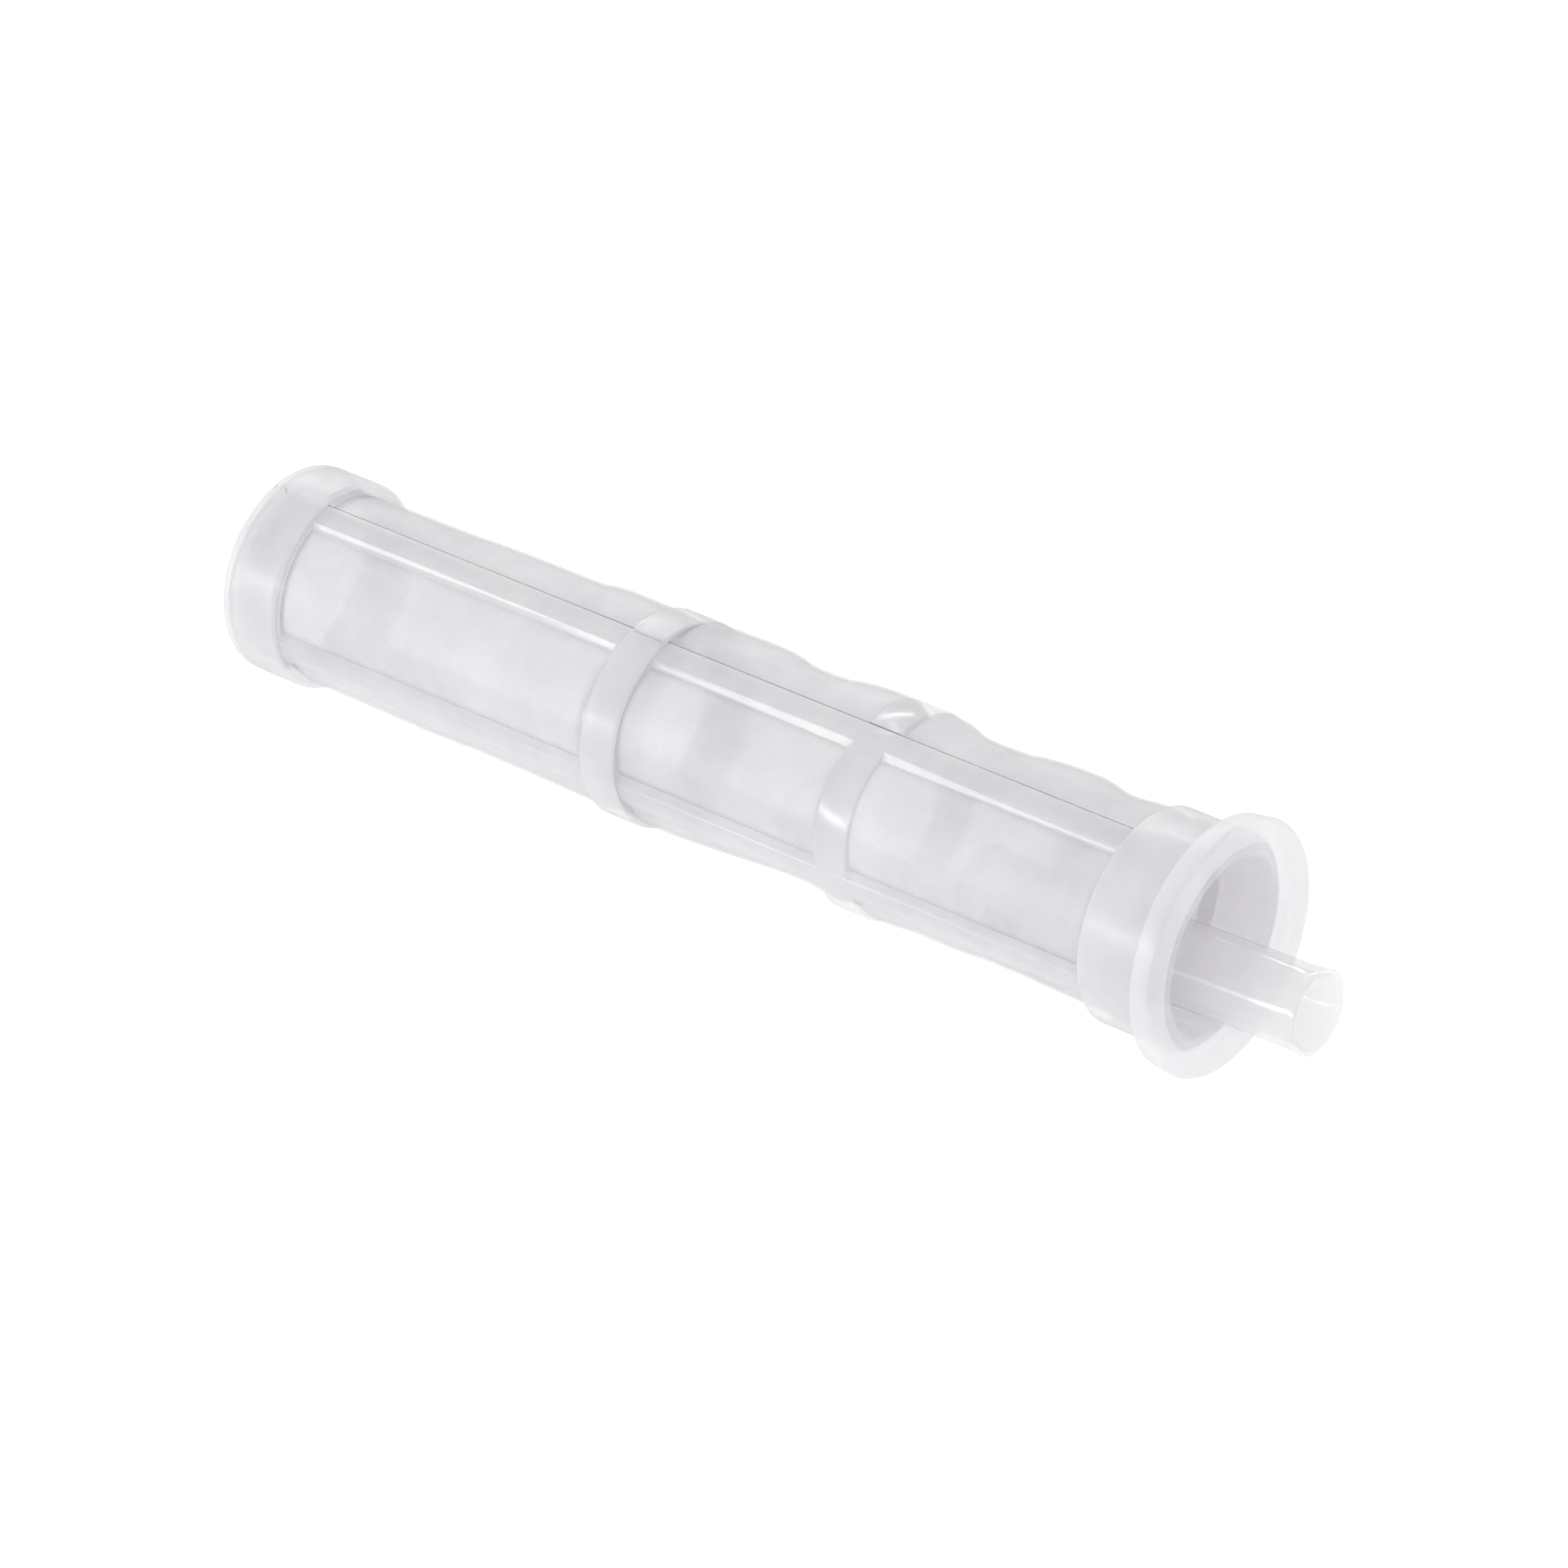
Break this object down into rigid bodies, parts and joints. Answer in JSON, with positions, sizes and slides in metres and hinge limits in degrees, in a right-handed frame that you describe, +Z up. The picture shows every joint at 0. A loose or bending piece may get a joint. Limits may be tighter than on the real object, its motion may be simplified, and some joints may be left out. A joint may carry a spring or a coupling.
{
  "type": "saliva ejector filter tip",
  "caption": "Slim filter cage with mesh windows, closed at one end, flanged at the mouth, with an off-centre inlet tube.",
  "frame": {"origin": "under the middle of the overall length, on the surface that the flange lies on", "axes": "+X along the filter's axis towards the mouth, +Z up, the filter lying on its side"},
  "size_m": [0.0986, 0.02, 0.0199],
  "materials": {
    "milky_plastic": "moulded milky translucent polypropylene, satin gloss",
    "filter_mesh": "fine woven monofilament nylon mesh, translucent, slightly pillowed",
    "soft_seal": "soft translucent elastomer, matte",
    "clear_tube": "glossy extruded translucent polyethylene"
  },
  "bodies": {
    "cage": {"end_cap": "milky_plastic", "far_cage": "milky_plastic", "near_cage": "milky_plastic", "centre_hoop": "milky_plastic", "far_mesh_sleeve": "filter_mesh", "near_mesh_sleeve": "filter_mesh", "mouth_flange": "milky_plastic"},
    "plug": {"seal_plug": "soft_seal"},
    "tube": {"inlet_tube": "clear_tube"}
  },
  "joints": [
    {"name": "plug_turn", "type": "hinge", "parent": "cage", "child": "plug", "pos_m": [0.0305, 0, 0.00997], "axis": [1, 0, 0], "continuous": true},
    {"name": "tube_slide", "type": "slide", "parent": "plug", "child": "tube", "axis": [0.9994, 0, 0.0349], "range_m": [0, 0.008]}
  ]
}
